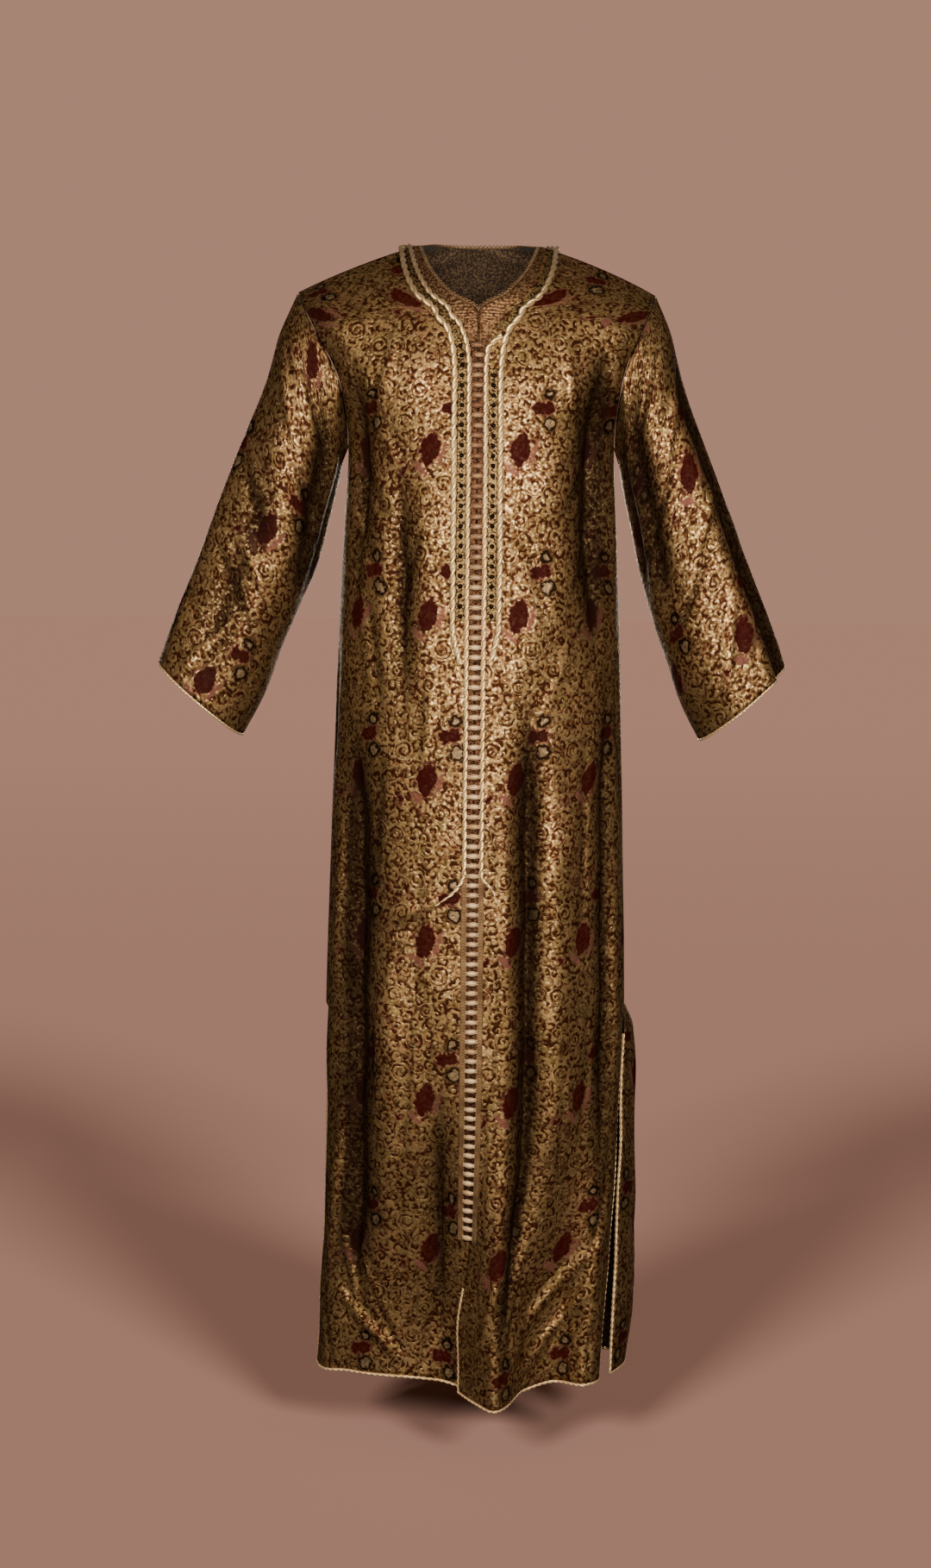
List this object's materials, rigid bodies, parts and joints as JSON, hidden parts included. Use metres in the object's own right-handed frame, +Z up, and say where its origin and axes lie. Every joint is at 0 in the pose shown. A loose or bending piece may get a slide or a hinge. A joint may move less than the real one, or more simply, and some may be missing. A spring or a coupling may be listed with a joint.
{
  "type": "moroccan kaftan",
  "caption": "Full-length front-opening kaftan in its hollow worn form, with round V neck, wide open sleeves, side slits, knot-button front and cord-and-braid trims.",
  "frame": {"origin": "midway between the two points where the neckline meets the shoulder seams, which is where the wearer's shoulders hold the garment", "axes": "+Z up along the body from hem to neck; the wearer faces -Y, with the wearer's left side at +X"},
  "size_m": [0.7558, 0.2661, 1.3875],
  "materials": {
    "gold_brocade": "metallic gold scroll brocade on a dark brown ground with burgundy leaf motifs, soft sheen",
    "cream_cord": "twisted cream-gold cord, looped edging, braid and knot buttons, satin",
    "dotted_braid": "flat tan braid with small dark dots, matt with gold thread"
  },
  "bodies": {
    "root": {"back": "gold_brocade", "front_left": "gold_brocade", "front_right": "gold_brocade", "sleeve_left": "gold_brocade", "sleeve_right": "gold_brocade", "button_row": "cream_cord", "cuff_cord_left": "cream_cord", "cuff_cord_right": "cream_cord", "edge_cord_back": "cream_cord", "edge_cord_front_left": "cream_cord", "edge_cord_front_right": "cream_cord", "front_braid_left": "cream_cord", "front_braid_right": "cream_cord", "inner_cord_left": "cream_cord", "inner_cord_right": "cream_cord", "neck_braid_back": "cream_cord", "neck_edging_back": "cream_cord", "neck_edging_left": "cream_cord", "neck_edging_right": "cream_cord", "outer_cord_back": "cream_cord", "outer_cord_left": "cream_cord", "outer_cord_right": "cream_cord", "neck_braid_left": "dotted_braid", "plastron_braid_left": "dotted_braid", "plastron_braid_right": "dotted_braid"}
  },
  "joints": []
}
